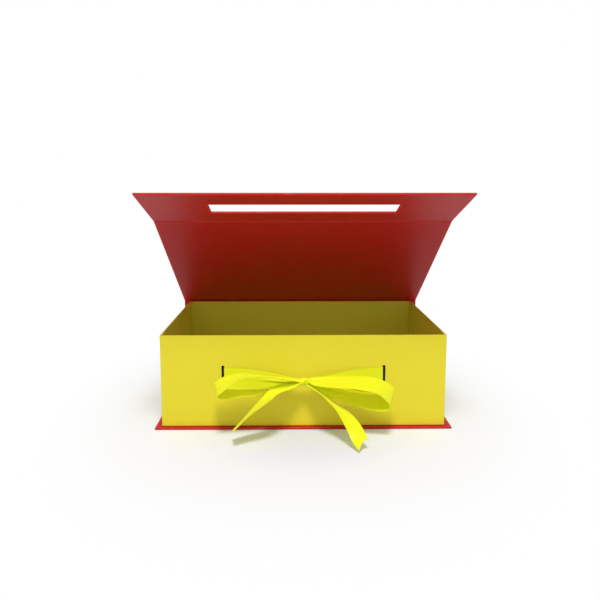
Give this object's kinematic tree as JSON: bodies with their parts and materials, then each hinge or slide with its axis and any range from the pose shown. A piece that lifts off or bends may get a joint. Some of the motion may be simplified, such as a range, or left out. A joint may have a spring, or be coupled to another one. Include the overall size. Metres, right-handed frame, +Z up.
{
  "type": "collapsible gift box",
  "caption": "Book-style rigid box with a hinged lid and windowed front flap, a tray that folds flat, and a ribbon tied in a bow through its front wall",
  "frame": {"origin": "On the table, under the middle of the tray: the centre of its footprint on the underside of the base", "axes": "+X to the right along the box's long side, +Y to the back (the spine), +Z up out of the open tray"},
  "size_m": [0.314, 0.3061, 0.248],
  "materials": {
    "greyboard": "matte",
    "red_paper": "satin",
    "red_liner": "matte",
    "yellow_paper": "matte",
    "yellow_liner": "matte",
    "yellow_ribbon": "satin"
  },
  "bodies": {
    "base": {"base_board": "greyboard", "base_wrap": "red_paper", "base_liner": "red_liner", "base_crease": "red_paper", "floor_sheet": "yellow_liner"},
    "spine": {"spine_board": "greyboard", "spine_wrap": "red_paper", "spine_liner": "red_liner", "back_wall_board": "greyboard", "back_wall_wrap": "yellow_paper", "back_wall_liner": "yellow_liner", "lid_crease": "red_paper", "left_rear_corner_crease": "yellow_paper", "right_rear_corner_crease": "yellow_paper"},
    "lid": {"lid_board": "greyboard", "lid_wrap": "red_paper", "lid_liner": "red_liner", "flap_crease": "red_paper"},
    "flap": {"flap_board": "greyboard", "flap_wrap": "red_paper", "flap_liner": "red_liner"},
    "left_rear": {"left_rear_board": "greyboard", "left_rear_wrap": "yellow_paper", "left_rear_liner": "yellow_liner", "left_centre_crease": "yellow_paper"},
    "left_front": {"left_front_board": "greyboard", "left_front_wrap": "yellow_paper", "left_front_liner": "yellow_liner"},
    "front_wall": {"front_wall_board": "greyboard", "front_wall_wrap": "yellow_paper", "front_wall_liner": "yellow_liner", "ribbon_band": "yellow_ribbon", "ribbon_left_strand": "yellow_ribbon", "ribbon_right_strand": "yellow_ribbon", "bow_knot": "yellow_ribbon", "bow_left_loop": "yellow_ribbon", "bow_right_loop": "yellow_ribbon", "bow_left_tail": "yellow_ribbon", "bow_right_tail": "yellow_ribbon", "left_front_corner_crease": "yellow_paper", "right_front_corner_crease": "yellow_paper"},
    "right_rear": {"right_rear_board": "greyboard", "right_rear_wrap": "yellow_paper", "right_rear_liner": "yellow_liner", "right_centre_crease": "yellow_paper"},
    "right_front": {"right_front_board": "greyboard", "right_front_wrap": "yellow_paper", "right_front_liner": "yellow_liner"}
  },
  "joints": [
    {"name": "spine_fold", "type": "hinge", "parent": "base", "child": "spine", "pos_m": [0, 0.115, 0.001], "axis": [1, 0, 0], "range_deg": [-90, 0]},
    {"name": "lid_fold", "type": "hinge", "parent": "spine", "child": "lid", "pos_m": [0, 0.115, 0.10185], "axis": [-1, 0, 0], "range_deg": [-29.7, 150.3]},
    {"name": "flap_fold", "type": "hinge", "parent": "lid", "child": "flap", "pos_m": [0, -0.08991, 0.21873], "axis": [-1, 0, 0], "range_deg": [-76.5, 13.5]},
    {"name": "tray_fold", "type": "hinge", "parent": "spine", "child": "left_rear", "pos_m": [-0.14755, 0.11155, 0.05145], "axis": [0, 0, 1], "range_deg": [0, 88]},
    {"name": "left_centre_fold", "type": "hinge", "parent": "left_rear", "child": "left_front", "pos_m": [-0.15045, 0, 0.05145], "axis": [0, 0, 1], "range_deg": [-176, 0]},
    {"name": "left_front_fold", "type": "hinge", "parent": "left_front", "child": "front_wall", "pos_m": [-0.14755, -0.11155, 0.05145], "axis": [0, 0, 1], "range_deg": [0, 88]},
    {"name": "right_rear_fold", "type": "hinge", "parent": "spine", "child": "right_rear", "pos_m": [0.14755, 0.11155, 0.05145], "axis": [0, 0, 1], "range_deg": [-88, 0]},
    {"name": "right_centre_fold", "type": "hinge", "parent": "right_rear", "child": "right_front", "pos_m": [0.15045, 0, 0.05145], "axis": [0, 0, 1], "range_deg": [0, 176]}
  ],
  "couplings": [
    {"joint": "left_centre_fold", "follows": "tray_fold", "ratio": -2},
    {"joint": "left_front_fold", "follows": "tray_fold", "ratio": 1},
    {"joint": "right_rear_fold", "follows": "tray_fold", "ratio": -1},
    {"joint": "right_centre_fold", "follows": "tray_fold", "ratio": 2}
  ]
}
